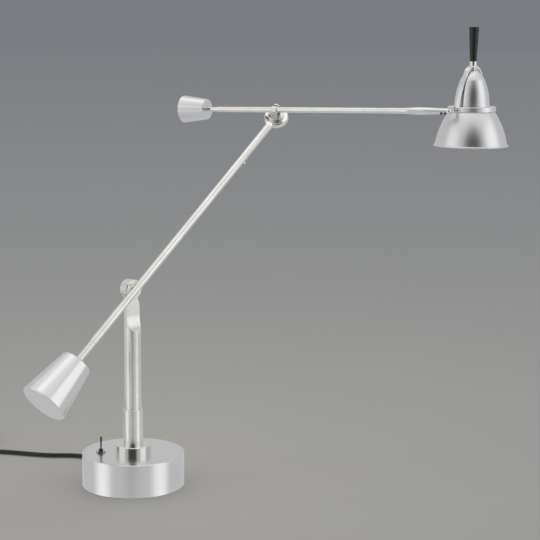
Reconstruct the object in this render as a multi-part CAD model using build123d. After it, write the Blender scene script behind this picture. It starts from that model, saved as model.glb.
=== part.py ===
from build123d import *
import math
import os

# Counterweight balance desk lamp: a heavy round base, a turning post, two arms that
# each carry a counterweight, and a small bell shade hung in a strap under a handle.
# Millimetres, +Z up, origin at the middle of the base on the table. The front is -Y.

os.makedirs("parts", exist_ok=True)

# ---- clearances ----
RUNNING_FIT = 0.06  # radial, a shaft in its bearing
FIXED_FIT = 0.1  # radial, a fixed part in its hole
FACE_GAP = 0.1  # between flat faces that turn on each other
BODY_GAP = 0.4  # between parts that pass each other

# ---- rest pose, degrees ----
ARM_AZIMUTH = 45.4  # way the lower arm points, from +X
LOWER_PITCH = 39.75  # rise of the lower arm
ELBOW_ROLL = 24.3  # elbow disc about the lower arm
ELBOW_TURN = -76.6  # turret on the elbow disc
UPPER_TILT = 15.0  # upper arm out of the elbow disc's plane
HEAD_AZIMUTH = 42.0  # way the strap's plane points, from +X

# ---- base ----
BASE_RADIUS = 75.0
BASE_HEIGHT = 49.0
BASE_WALL = 5.0
BASE_LIFT = 0.6  # shell clear of the table
BASE_EDGE = 0.8
PAD_THICKNESS = 1.2
PAD_MARGIN = 5.0
PLATE_THICKNESS = 3.0
PLATE_LEDGE = 1.3
PLATE_SCREWS = 3
PLATE_SCREW_RADIUS = 1.5
PLATE_SCREW_BITE = 12.0
PLATE_SCREW_START = 30.0  # degrees from +X
BOSS_RADIUS = 4.5
BOSS_WEB = 4.0
BOSS_HOLE_ROOM = 20.0  # solid part of a boss under the roof
SCREW_HEAD_HEIGHT = 1.6

# ---- post and its sleeve ----
POST_RADIUS = 12.1
POST_BORE = 7.5
POST_DEPTH = 11.0  # foot of the post under the top of the base
SLEEVE_RADIUS = 14.3
SLEEVE_STAND = 65.6  # sleeve above the top of the base
SLEEVE_FLOOR = 4.0
WASHER_THICKNESS = 2.0
COLLAR_RADIUS = 26.2
COLLAR_HEIGHT = 12.0
COLLAR_EDGE = 1.0
SLEEVE_NUT_RADIUS = 20.0
SLEEVE_NUT_HEIGHT = 6.0
FOOT_BOLT_RADIUS = 4.0
RELIEF_DROP = 62.5  # from the knee down to the end of the flat where the steep arm lies
RELIEF_MIDDLE_DROP = 53.0
RELIEF_MIDDLE_DEPTH = 5.2  # from the post's axis to the middle of the run-out
RELIEF_FLAT_DROP = 39.0  # above this level it is flat
SHOULDER_DEPTH = 3.0
SHOULDER_HEIGHT = 10.0
HEAD_STUD_RADIUS = 3.0
HEAD_STUD_PLACE = 7.0
HEAD_STUD_LENGTH = 20.0

# ---- transformer and ballast ----
RING_INNER = 22.0
RING_MARGIN = 32.0  # from the edge of the base to the transformer
RING_ROOM = 3.3  # under the level of the switch
RING_ROUNDING = 3.0
BALLAST_MARGIN = 3.0  # from the transformer to the ballast
BALLAST_ROOM = 4.3
BALLAST_GAP_LENGTH = 25.0  # way for the strain relief, in from the wall

# ---- knee ----
KNEE_HEIGHT = 292.0
ARM_OFFSET = 8.0  # arm axis in front of the post axis
KNEE_SPLIT = 2.0  # face where the two knee discs meet, behind the post axis
POST_DISC_RADIUS = 13.8
POST_DISC_THICKNESS = 9.0
ARM_DISC_RADIUS = 14.2
ARM_DISC_THICKNESS = 6.5
KNEE_PIN_RADIUS = 4.0
KNEE_SCREW_SPREAD = 9.3
KNEE_WASHER_RADIUS = 8.6

# ---- lower arm, measured from the knee along the arm ----
LOWER_RADIUS = 5.5
LOWER_WALL = 1.2
LOWER_SEAM = -104.0
LOWER_END = 301.0
ELBOW_REACH = 373.0
LOWER_NECK_RADIUS = 5.0
BIG_WEIGHT_NEAR = -142.0
BIG_WEIGHT_LENGTH = 78.0
BIG_WEIGHT_SMALL = 23.2
BIG_WEIGHT_LARGE = 34.6
BIG_WEIGHT_EDGE = 1.6
SPIGOT_LENGTH = 36.0
STUD_PLACE = 277.5
STUD_RADIUS = 1.7
STUD_PROUD = 3.5

# ---- elbow, measured along the axis of its disc ----
ELBOW_DISC_RADIUS = 18.5
ELBOW_DISC_BACK = -6.0
ELBOW_DISC_FACE = 2.6
TURRET_RADIUS = 12.0
TURRET_THICKNESS = 4.0
SADDLE_HEIGHT = 17.0
CHEEK_THICKNESS = 1.8
CHEEK_HALF_WIDTH = 5.0
TURN_PIN_RADIUS = 4.0
TILT_PIN_RADIUS = 1.8
TILT_HEAD_RADIUS = 2.6
TILT_HEAD_THICKNESS = 0.8
SADDLE_RADIUS = 5.6
SADDLE_LENGTH = 10.0

# ---- upper arm, measured from the tilt pin along the arm ----
UPPER_RADIUS = 4.2
UPPER_WALL = 1.1
UPPER_SEAM = -103.5
UPPER_END = 208.6
UPPER_NECK_RADIUS = 3.5
SMALL_WEIGHT_NEAR = -122.0
SMALL_WEIGHT_LENGTH = 43.2
SMALL_WEIGHT_SMALL = 16.0
SMALL_WEIGHT_LARGE = 21.4
SMALL_WEIGHT_EDGE = 0.8
GROOVE_PLACE = 190.1
GROOVE_WIDTH = 2.8
GROOVE_SCREW_RADIUS = 1.0

# ---- fork at the end of the upper arm ----
FORK_SWELL_PLACE = 243.5
FORK_SWELL_RADIUS = 5.5
FORK_PIN_PLACE = 288.5
FORK_TIP_RADIUS = 4.3
SLOT_START = 222.5
SLOT_HEIGHT = 1.7
YAW_PIN_RADIUS = 1.5
FORK_SCREW_PLACES = (278.3, 284.0)
FORK_SCREW_HEAD = 1.9

# ---- head, measured from the height of the fork's slot ----
STRAP_REACH = 51.0  # pin to the axis of the shade
STRAP_FOOT_RADIUS = 33.0
STRAP_TOP = 64.4
STRAP_WIDTH = 6.8
STRAP_THICKNESS = 2.0
STRAP_SHOULDER = (16.0, 52.4)
STRAP_MIDDLE = (25.3, 28.0)
TONGUE_THICKNESS = 1.3
TONGUE_EYE_RADIUS = 4.2
FOOT_SCREW_RADIUS = 1.2
FOOT_SCREW_HEIGHT = 3.1
RING_EDGE_RADIUS = 35.2
RING_BOTTOM = -1.2
RING_TOP = 5.4
RING_HOLE = 20.0
NOTCH_RADIUS = 29.6
SHELL_WALL = 1.2
BELL_TOP_RADIUS = 33.6
BELL_TOP_HOLE = 28.0
BELL_MIDDLE = (45.6, -24.2)
BELL_RIM_RADIUS = 55.2
BELL_RIM_HEIGHT = -53.0
RIM_ROLL_RADIUS = 1.3
OGIVE_RADIUS = 26.0
OGIVE_MIDDLE = (23.7, 24.9)
OGIVE_SHOULDER = (18.2, 43.9)
OGIVE_NOSE = (12.9, 52.6)
OGIVE_TOP = 57.6
OGIVE_TOP_RADIUS = 7.0
NIPPLE_RADIUS = 4.6
FERRULE_RADIUS = 5.3
FERRULE_HEIGHT = 5.7
HANDLE_LENGTH = 50.2
HANDLE_FOOT_RADIUS = 5.1
HANDLE_TOP_RADIUS = 7.75
ROD_RADIUS = 2.2
ROD_IN_HANDLE = 20.0
ROD_IN_HOLDER = 7.0

# ---- lamp holder and bulb ----
HOLDER_RADIUS = 9.0
HOLDER_HEIGHT = 20.0
HOLDER_TOP = 4.0
BULB_RADIUS = 6.0
BULB_LENGTH = 26.0

# ---- toggle switch ----
SWITCH_INSET = 28.0  # from the left edge of the base
SWITCH_FORWARD = 6.5
SWITCH_BODY = (13.0, 9.0, 10.5)
SWITCH_BUSH_RADIUS = 3.0
SWITCH_BUSH_TOP = 5.0
SWITCH_NUT_RADIUS = 7.0
SWITCH_NUT_HEIGHT = 1.8
LEVER_BALL = 2.2
LEVER_ROOT = 0.9
LEVER_TIP = 1.5
LEVER_LENGTH = 20.5
LEVER_LEAN = 11.0
LEVER_DROP = 2.4  # ball under the top of the bush
LEVER_PIN_RADIUS = 0.8
LEVER_PIN_HALF = 2.7

# ---- lead ----
CORD_RADIUS = 3.5
CORD_AZIMUTH = 122.0
CORD_HEIGHT = 13.0
GLAND_LENGTH = 22.0
GLAND_FLANGE_RADIUS = 7.5
GLAND_TIP_RADIUS = 4.6
CORD_FIRST_RUN = 14.0
CORD_ROUTE = [
    (-66.0, 107.0, 8.8),
    (-77.0, 120.5, 4.8),
    (-92.0, 130.0, 3.5),
    (-112.0, 133.5, 3.5),
    (-140.0, 131.5, 3.5),
    (-172.0, 138.0, 3.5),
    (-202.0, 146.5, 3.5),
    (-232.0, 152.0, 3.5),
]
CORD_LAST_RUN = 44.0
COIL_CENTRE = (-300.0, 222.0)
COIL_OUTER = 52.0
COIL_PITCH = 7.7
COIL_TURNS_IN = 3
COIL_ENTRY = -105.0  # angle on the coil where the lead joins it
TAIL_RUNS = [(26.0, 0.0, 11.2), (28.0, 25.0, 6.9), (24.0, 53.0, 6.9)]
PLUG_LENGTH = 36.0
PLUG_WIDTH = 26.0
PLUG_THICKNESS = 13.6
PIN_RADIUS = 2.0
PIN_LENGTH = 19.0
PIN_SPREAD = 18.6

nodes = {}


def disc(radius, bottom, top, bore=0.0):
    """A round bar, plate or tube along Z."""
    solid = extrude(Plane.XY.offset(bottom) * Circle(radius), top - bottom)
    if bore:
        solid -= extrude(Plane.XY.offset(bottom) * Circle(bore), top - bottom)
    return solid


def bar(radius, start, end, bore=0.0):
    """A round bar or tube along X."""
    return Rot(0, 90, 0) * disc(radius, start, end, bore)


def pin(radius, front, back, bore=0.0):
    """A round bar along Y, from the more negative end."""
    return Rot(-90, 0, 0) * disc(radius, front, back, bore)


def turned(points, about=Axis.Z):
    """A body of revolution from an outline in the XZ plane."""
    outline = Plane.XZ * make_face(Polyline(*points, close=True))
    return revolve(outline, about)


def block(length, width, height, centre):
    return Pos(*centre) * Box(length, width, height)


def around(count, radius, start=0.0):
    """Places evenly spaced on a circle."""
    for index in range(count):
        angle = math.radians(start + 360.0 * index / count)
        yield radius * math.cos(angle), radius * math.sin(angle)


def cone_weight(small, large, near, length, edge, bore, depth):
    """A counterweight along -X, with broken edges and a blind hole for its neck."""
    far = near - length
    points = [
        (near, 0),
        (near, small - edge),
        (near - edge, small),
        (far + edge, large),
        (far, large - edge),
        (far, 0),
    ]
    return turned(points, Axis.X) - bar(bore, near - depth, near + 1)


# ---- frames of the moving groups ----
post_frame = Rot(0, 0, ARM_AZIMUTH)
knee_frame = post_frame * Pos(0, 0, KNEE_HEIGHT) * Rot(0, -LOWER_PITCH, 0)
lower_frame = knee_frame * Pos(0, -ARM_OFFSET, 0)
elbow_frame = lower_frame * Pos(ELBOW_REACH, 0, 0) * Rot(ELBOW_ROLL, 0, 0)
turret_frame = elbow_frame * Rot(0, 0, ELBOW_TURN)
upper_frame = turret_frame * Pos(0, 0, SADDLE_HEIGHT) * Rot(0, -UPPER_TILT, 0)
upper_along = Plane(upper_frame).x_dir
upper_level = Vector(0, 0, 1).cross(upper_along)
fork_frame = Location(
    Plane(
        origin=upper_frame.position,
        x_dir=upper_along,
        z_dir=upper_along.cross(upper_level),
    )
)
fork_turn = upper_frame.inverse() * fork_frame
pin_frame = fork_frame * Pos(FORK_PIN_PLACE, 0, 0)
arm_azimuth_at_pin = math.degrees(math.atan2(upper_along.Y, upper_along.X))
tongue_frame = pin_frame * Rot(0, 0, HEAD_AZIMUTH - arm_azimuth_at_pin)
strap_frame = Pos(pin_frame.position) * Rot(0, 0, HEAD_AZIMUTH)
shade_frame = strap_frame * Pos(STRAP_REACH, 0, 0)


# ---- base ----
shell_roof = BASE_HEIGHT - BASE_WALL
plate_bottom = PAD_THICKNESS
plate_top = plate_bottom + PLATE_THICKNESS
cavity_radius = BASE_RADIUS - BASE_WALL
plate_radius = cavity_radius + PLATE_LEDGE
boss_circle = cavity_radius - BOSS_RADIUS - 2.0
gland_frame = Rot(0, 0, CORD_AZIMUTH) * Pos(BASE_RADIUS, 0, CORD_HEIGHT)
switch_x = SWITCH_INSET - BASE_RADIUS
switch_y = -SWITCH_FORWARD
switch_level = shell_roof - SWITCH_BODY[2]
sleeve_top = BASE_HEIGHT + SLEEVE_STAND
post_foot = BASE_HEIGHT - POST_DEPTH
screw_places = list(around(PLATE_SCREWS, boss_circle, PLATE_SCREW_START))


def make_base_shell():
    body = disc(BASE_RADIUS, BASE_LIFT, BASE_HEIGHT)
    body = chamfer(body.edges().group_by(Axis.Z)[-1], BASE_EDGE)
    body -= disc(cavity_radius, 0, shell_roof)
    body -= disc(plate_radius + FIXED_FIT, 0, plate_top)
    for x, y in screw_places:
        boss = disc(BOSS_RADIUS, plate_top, shell_roof)
        web = block(BOSS_WEB, BOSS_WEB, shell_roof - plate_top, (0, 0, 0))
        scale = (boss_circle + BOSS_RADIUS) / boss_circle
        web = Pos(x * scale, y * scale, (shell_roof + plate_top) / 2) * web
        body += Pos(x, y, 0) * boss
        body += web & disc(cavity_radius + 1.0, plate_top, shell_roof)
        hole = disc(PLATE_SCREW_RADIUS + FIXED_FIT, plate_top - 1, shell_roof - BOSS_HOLE_ROOM)
        body -= Pos(x, y, 0) * hole
    body -= disc(SLEEVE_RADIUS + FIXED_FIT, shell_roof - 1, BASE_HEIGHT + 1)
    bush_hole = disc(SWITCH_BUSH_RADIUS + FIXED_FIT, shell_roof - 1, BASE_HEIGHT + 1)
    body -= Pos(switch_x, switch_y, 0) * bush_hole
    body -= gland_frame * bar(GLAND_TIP_RADIUS + FIXED_FIT, -12, 6)
    return body


def make_base_plate():
    plate = disc(plate_radius, plate_bottom, plate_top)
    for x, y in screw_places:
        plate -= Pos(x, y, 0) * disc(PLATE_SCREW_RADIUS + FIXED_FIT, 0, plate_top + 1)
        recess = disc(PLATE_SCREW_RADIUS * 2 + FIXED_FIT, 0, plate_bottom + SCREW_HEAD_HEIGHT)
        plate -= Pos(x, y, 0) * recess
    return plate


def make_plate_screws():
    screws = Part()
    for x, y in screw_places:
        head = disc(PLATE_SCREW_RADIUS * 2, plate_bottom, plate_bottom + SCREW_HEAD_HEIGHT)
        shank = disc(PLATE_SCREW_RADIUS, plate_bottom, plate_top + PLATE_SCREW_BITE)
        screws += Pos(x, y, 0) * (head + shank)
    return screws


def make_base_pad():
    pad = disc(BASE_RADIUS - PAD_MARGIN, 0, PAD_THICKNESS)
    for x, y in screw_places:
        pad -= Pos(x, y, 0) * disc(PLATE_SCREW_RADIUS * 2 + 1.0, -1, PAD_THICKNESS + 1)
    return pad


transformer_radius = BASE_RADIUS - RING_MARGIN


def make_ballast():
    top = switch_level - BALLAST_ROOM
    inner = transformer_radius + BALLAST_MARGIN
    ring = disc(boss_circle + BOSS_RADIUS - 1.0, plate_top, top, inner)
    for x, y in screw_places:
        hole = disc(BOSS_RADIUS + BODY_GAP, plate_top - 1, top + 1)
        ring -= Pos(x, y, 0) * hole
    way = block(
        BALLAST_GAP_LENGTH * 2,
        GLAND_FLANGE_RADIUS * 2 + 4.0,
        BASE_HEIGHT * 2,
        (-BASE_WALL, 0, 0),
    )
    return ring - gland_frame * way


def make_transformer():
    ring = disc(transformer_radius, plate_top, switch_level - RING_ROOM, RING_INNER)
    return fillet(ring.edges().filter_by(GeomType.CIRCLE), RING_ROUNDING)


nodes["base_shell"] = make_base_shell()
nodes["base_plate"] = make_base_plate()
nodes["plate_screws"] = make_plate_screws()
nodes["base_pad"] = make_base_pad()
nodes["ballast_ring"] = make_ballast()
nodes["ring_transformer"] = make_transformer()

# ---- post bearing, fixed to the base ----
washer_top = post_foot - FACE_GAP
washer_bottom = washer_top - WASHER_THICKNESS
sleeve_bottom = washer_bottom - SLEEVE_FLOOR
sleeve_bore = POST_RADIUS + RUNNING_FIT
floor_hole = FOOT_BOLT_RADIUS + RUNNING_FIT


def make_collar():
    collar = disc(COLLAR_RADIUS, BASE_HEIGHT, BASE_HEIGHT + COLLAR_HEIGHT)
    collar = chamfer(collar.edges().group_by(Axis.Z)[-1], COLLAR_EDGE)
    return collar - disc(SLEEVE_RADIUS + FIXED_FIT, 0, sleeve_top)


def make_sleeve():
    sleeve = disc(SLEEVE_RADIUS, sleeve_bottom, sleeve_top)
    sleeve = chamfer(sleeve.edges().group_by(Axis.Z)[-1], 0.5)
    sleeve -= disc(sleeve_bore, washer_bottom, sleeve_top + 1)
    return sleeve - disc(floor_hole, sleeve_bottom - 1, washer_bottom)


def make_sleeve_nut():
    top = shell_roof
    bottom = top - SLEEVE_NUT_HEIGHT
    nut = extrude(Plane.XY.offset(bottom) * RegularPolygon(SLEEVE_NUT_RADIUS, 6), top - bottom)
    return nut - disc(SLEEVE_RADIUS + FIXED_FIT, bottom - 1, top + 1)


nodes["collar"] = make_collar()
nodes["sleeve"] = make_sleeve()
nodes["sleeve_nut"] = make_sleeve_nut()
nodes["thrust_washer"] = disc(POST_RADIUS - 0.2, washer_bottom, washer_top, floor_hole)

# ---- post, turns in the sleeve ----
post_disc_bottom = KNEE_HEIGHT - ARM_DISC_RADIUS
post_top = post_disc_bottom - BODY_GAP


def make_relief():
    """The flat on the front of the post's top, which clears the arm when it is steep."""
    flat = LOWER_RADIUS + BODY_GAP - ARM_OFFSET
    clear = POST_RADIUS * 2
    foot = (-POST_RADIUS, KNEE_HEIGHT - RELIEF_DROP)
    middle = (-RELIEF_MIDDLE_DEPTH, KNEE_HEIGHT - RELIEF_MIDDLE_DROP)
    flat_start = (flat, KNEE_HEIGHT - RELIEF_FLAT_DROP)
    rest = Polyline(
        flat_start,
        (flat, KNEE_HEIGHT),
        (-clear, KNEE_HEIGHT),
        (-clear, KNEE_HEIGHT - RELIEF_DROP),
        foot,
    )
    side_view = make_face(ThreePointArc(foot, middle, flat_start) + rest)
    return extrude(Plane.YZ * side_view, clear, both=True)


def make_post_tube():
    tube = disc(POST_RADIUS, post_foot, post_top)
    tube -= disc(POST_BORE, post_foot, KNEE_HEIGHT - RELIEF_DROP - POST_BORE)
    shoulder = turned(
        [
            (POST_RADIUS, post_top - SHOULDER_HEIGHT),
            (POST_RADIUS + 1.0, post_top - SHOULDER_HEIGHT),
            (POST_RADIUS + 1.0, post_top + 1.0),
            (POST_RADIUS - SHOULDER_DEPTH, post_top + 1.0),
            (POST_RADIUS - SHOULDER_DEPTH, post_top),
        ]
    )
    behind = Pos(0, POST_RADIUS * 2 + KNEE_SPLIT + FACE_GAP, post_top) * Box(
        *([POST_RADIUS * 4] * 3)
    )
    stud_hole = disc(HEAD_STUD_RADIUS + FIXED_FIT, post_top - HEAD_STUD_LENGTH, post_top)
    return tube - (shoulder - behind) - make_relief() - Pos(0, HEAD_STUD_PLACE, 0) * stud_hole


def make_post_head():
    face = KNEE_SPLIT + FACE_GAP
    stud = disc(HEAD_STUD_RADIUS, post_top - HEAD_STUD_LENGTH + FIXED_FIT, post_top)
    half = disc(POST_RADIUS, post_top, KNEE_HEIGHT)
    half &= Pos(0, POST_RADIUS * 2 + face, KNEE_HEIGHT) * Box(*([POST_RADIUS * 4] * 3))
    cheek = pin(POST_DISC_RADIUS, face, face + POST_DISC_THICKNESS)
    bore = pin(KNEE_PIN_RADIUS + RUNNING_FIT, 0, POST_RADIUS * 2)
    seat = pin(KNEE_WASHER_RADIUS + 0.9, face + POST_DISC_THICKNESS, POST_RADIUS * 2)
    knee = Pos(0, 0, KNEE_HEIGHT)
    return half + Pos(0, HEAD_STUD_PLACE, 0) * stud + knee * cheek - knee * (bore + seat)


def make_post_plug():
    plug = disc(POST_BORE - FIXED_FIT, post_foot, post_foot + 22.0)
    return plug - disc(FOOT_BOLT_RADIUS + FIXED_FIT, post_foot - 1, post_foot + 18.0)


def make_foot_bolt():
    seat = sleeve_bottom - FACE_GAP
    shank = disc(FOOT_BOLT_RADIUS, seat - 1.0, post_foot + 17.0)
    head = extrude(Plane.XY.offset(seat - 5.5) * RegularPolygon(7.0, 6), 5.5)
    return shank + head


nodes["post_tube"] = post_frame * make_post_tube()
nodes["post_head"] = post_frame * make_post_head()
nodes["post_plug"] = make_post_plug()
nodes["foot_bolt"] = make_foot_bolt()

# ---- knee and lower arm: X along the arm, Y away from the front of the knee ----
arm_disc_back = KNEE_SPLIT + ARM_OFFSET
arm_disc_front = arm_disc_back - ARM_DISC_THICKNESS
post_disc_back = arm_disc_back + FACE_GAP + POST_DISC_THICKNESS
lower_bore = LOWER_RADIUS - LOWER_WALL


def make_arm_disc():
    plate = pin(ARM_DISC_RADIUS, arm_disc_front, arm_disc_back)
    plate = chamfer(plate.edges().filter_by(GeomType.CIRCLE).group_by(Axis.Y)[0], 0.8)
    plate -= bar(LOWER_RADIUS + FIXED_FIT, -30, 30)
    plate -= pin(KNEE_PIN_RADIUS + FIXED_FIT, LOWER_RADIUS + 0.6, arm_disc_back + 1)
    for side in (-1, 1):
        hole = pin(1.2, arm_disc_front - 1, arm_disc_front + 3.5)
        plate -= Pos(0, 0, side * KNEE_SCREW_SPREAD) * hole
    return plate


def make_knee_screws():
    screws = Part()
    for side in (-1, 1):
        shank = pin(1.1, arm_disc_front - 0.2, arm_disc_front + 3.2)
        head = pin(1.9, arm_disc_front - 1.0, arm_disc_front)
        screws += Pos(0, 0, side * KNEE_SCREW_SPREAD) * (shank + head)
    return screws


def make_knee_bolt():
    shank = pin(KNEE_PIN_RADIUS, LOWER_RADIUS + 1.0, post_disc_back + 6.0)
    head = pin(7.5, post_disc_back + 1.6, post_disc_back + 7.0)
    head = chamfer(head.edges().filter_by(GeomType.CIRCLE).group_by(Axis.Y)[-1], 1.0)
    return shank + head


def make_lower_neck():
    depth = 25.0
    neck = bar(LOWER_NECK_RADIUS, BIG_WEIGHT_NEAR - depth + 1.0, LOWER_SEAM)
    return neck + bar(lower_bore - FIXED_FIT, LOWER_SEAM, LOWER_SEAM + 16.0)


def make_bushes(radius, hole, places, length):
    bushes = Part()
    for place in places:
        bushes += bar(radius, place, place + length, hole)
    return bushes


def make_stud():
    shank = disc(1.2, lower_bore - 2.0, LOWER_RADIUS + 1.0)
    head = disc(STUD_RADIUS, LOWER_RADIUS, LOWER_RADIUS + STUD_PROUD)
    return Pos(STUD_PLACE, 0, 0) * Rot(180, 0, 0) * (shank + head)


def make_elbow_socket():
    """The end of the lower arm: a spigot, a round bar and the fixed elbow disc."""
    body = bar(lower_bore - FIXED_FIT, LOWER_END - SPIGOT_LENGTH, LOWER_END)
    body += bar(LOWER_RADIUS, LOWER_END, ELBOW_REACH)
    body -= Pos(STUD_PLACE, 0, 0) * disc(1.3, -10, 0)
    plate = disc(ELBOW_DISC_RADIUS, ELBOW_DISC_BACK, ELBOW_DISC_FACE)
    plate = chamfer(plate.edges().filter_by(GeomType.CIRCLE), 0.8)
    roll = Pos(ELBOW_REACH, 0, 0) * Rot(ELBOW_ROLL, 0, 0)
    clear = ELBOW_DISC_RADIUS * 2
    above = block(clear * 2, clear * 2, clear, (0, 0, ELBOW_DISC_FACE + clear / 2))
    body -= roll * (above & bar(clear, -ELBOW_DISC_RADIUS - 3.0, clear))
    body += roll * plate
    return body - roll * disc(TURN_PIN_RADIUS + RUNNING_FIT, -20, 20)


def lower_tube_with_hole():
    tube = bar(LOWER_RADIUS, LOWER_SEAM, LOWER_END, lower_bore)
    return tube - Pos(STUD_PLACE, 0, 0) * disc(1.3, -10, 0)


conductor_start = LOWER_SEAM + 20.0
conductor_end = LOWER_END - SPIGOT_LENGTH - 4.0
lower_bush_places = (conductor_start + 6.0, (conductor_start + conductor_end) / 2, conductor_end - 14.0)

nodes["arm_disc"] = lower_frame * make_arm_disc()
nodes["knee_screws"] = lower_frame * make_knee_screws()
nodes["knee_bolt"] = lower_frame * make_knee_bolt()
nodes["knee_washer"] = lower_frame * pin(
    KNEE_WASHER_RADIUS, post_disc_back + FACE_GAP, post_disc_back + 1.5, KNEE_PIN_RADIUS + FIXED_FIT
)
nodes["lower_tube"] = lower_frame * lower_tube_with_hole()
nodes["lower_neck"] = lower_frame * make_lower_neck()
nodes["big_weight"] = lower_frame * cone_weight(
    BIG_WEIGHT_SMALL,
    BIG_WEIGHT_LARGE,
    BIG_WEIGHT_NEAR,
    BIG_WEIGHT_LENGTH,
    BIG_WEIGHT_EDGE,
    LOWER_NECK_RADIUS + FIXED_FIT,
    25.0,
)
nodes["lower_conductor"] = lower_frame * bar(1.5, conductor_start, conductor_end)
nodes["lower_bushes"] = lower_frame * make_bushes(
    lower_bore - FIXED_FIT, 1.5 + FIXED_FIT, lower_bush_places, 8.0
)
nodes["elbow_socket"] = lower_frame * make_elbow_socket()
nodes["elbow_stud"] = lower_frame * make_stud()

# ---- turret on the elbow disc ----
turret_bottom = ELBOW_DISC_FACE + FACE_GAP
turret_top = turret_bottom + TURRET_THICKNESS
cheek_inner = SADDLE_RADIUS + BODY_GAP
cheek_outer = cheek_inner + CHEEK_THICKNESS
nut_top = ELBOW_DISC_BACK - 1.6


def make_turret():
    body = disc(TURRET_RADIUS, turret_bottom, turret_top)
    body = chamfer(body.edges().group_by(Axis.Z)[-1], 0.6)
    body -= disc(TURN_PIN_RADIUS + FIXED_FIT, turret_bottom - 1, turret_top - 1.2)
    for side in (-1, 1):
        middle = side * (cheek_inner + cheek_outer) / 2
        post = block(
            CHEEK_HALF_WIDTH * 2,
            CHEEK_THICKNESS,
            SADDLE_HEIGHT - turret_top + 1.0,
            (0, middle, (SADDLE_HEIGHT + turret_top - 1.0) / 2),
        )
        eye = pin(CHEEK_HALF_WIDTH, middle - CHEEK_THICKNESS / 2, middle + CHEEK_THICKNESS / 2)
        body += post + Pos(0, 0, SADDLE_HEIGHT) * eye
    return body - Pos(0, 0, SADDLE_HEIGHT) * pin(TILT_PIN_RADIUS + FIXED_FIT, -30, 30)


def make_turn_bolt():
    shank = disc(TURN_PIN_RADIUS, nut_top - 4.0, turret_top - 1.4)
    head = disc(7.0, nut_top - 5.0, nut_top)
    return shank + chamfer(head.edges().group_by(Axis.Z)[0], 0.8)


def make_tilt_pins():
    pins = Part()
    for side in (-1, 1):
        shank = pin(TILT_PIN_RADIUS, UPPER_RADIUS + 0.4, cheek_outer)
        head = pin(TILT_HEAD_RADIUS, cheek_outer, cheek_outer + TILT_HEAD_THICKNESS)
        turned_pin = shank + head
        pins += turned_pin if side > 0 else Rot(0, 0, 180) * turned_pin
    return Pos(0, 0, SADDLE_HEIGHT) * pins


nodes["turret"] = turret_frame * make_turret()
nodes["turn_bolt"] = turret_frame * make_turn_bolt()
nodes["turn_washer"] = turret_frame * disc(
    8.0, nut_top, ELBOW_DISC_BACK - FACE_GAP, TURN_PIN_RADIUS + FIXED_FIT
)
nodes["tilt_pins"] = turret_frame * make_tilt_pins()

# ---- upper arm: X along the arm ----
upper_bore = UPPER_RADIUS - UPPER_WALL
spigot_radius = upper_bore - RUNNING_FIT
spigot_end = GROOVE_PLACE - 10.0


def make_saddle():
    half = SADDLE_LENGTH / 2
    body = bar(SADDLE_RADIUS, -half, half)
    body = chamfer(body.edges().filter_by(GeomType.CIRCLE), 0.5)
    body -= bar(UPPER_RADIUS + FIXED_FIT, -half - 1, half + 1)
    return body - pin(TILT_PIN_RADIUS + RUNNING_FIT, -30, 30)


def make_upper_tube():
    tube = bar(UPPER_RADIUS, UPPER_SEAM, UPPER_END, upper_bore)
    hole = pin(GROOVE_SCREW_RADIUS + FIXED_FIT, -10, 0)
    return tube - fork_turn * Pos(GROOVE_PLACE, 0, 0) * hole


def make_upper_neck():
    depth = 18.0
    neck = bar(UPPER_NECK_RADIUS, SMALL_WEIGHT_NEAR - depth + 1.0, UPPER_SEAM)
    return neck + bar(upper_bore - FIXED_FIT, UPPER_SEAM, UPPER_SEAM + 14.0)


upper_wire_start = UPPER_SEAM + 18.0
upper_wire_end = spigot_end - 4.0
upper_bush_places = (upper_wire_start + 4.0, 30.0, upper_wire_end - 10.0)

nodes["saddle"] = upper_frame * make_saddle()
nodes["upper_tube"] = upper_frame * make_upper_tube()
nodes["upper_neck"] = upper_frame * make_upper_neck()
nodes["small_weight"] = upper_frame * cone_weight(
    SMALL_WEIGHT_SMALL,
    SMALL_WEIGHT_LARGE,
    SMALL_WEIGHT_NEAR,
    SMALL_WEIGHT_LENGTH,
    SMALL_WEIGHT_EDGE,
    UPPER_NECK_RADIUS + FIXED_FIT,
    18.0,
)
nodes["upper_conductor"] = upper_frame * bar(1.2, upper_wire_start, upper_wire_end)
nodes["upper_bushes"] = upper_frame * make_bushes(
    upper_bore - FIXED_FIT, 1.2 + FIXED_FIT, upper_bush_places, 6.0
)
nodes["groove_screw"] = (
    fork_frame
    * Pos(GROOVE_PLACE, 0, 0)
    * pin(GROOVE_SCREW_RADIUS, -UPPER_RADIUS + 0.1, -spigot_radius + 0.4)
)

# ---- fork: turns in the end of the upper arm ----
slot_half = SLOT_HEIGHT / 2
groove_floor = spigot_radius - 0.8
screw_level = -slot_half - FORK_SCREW_HEAD - 0.2
screw_seat = FORK_TIP_RADIUS - 1.6


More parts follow.
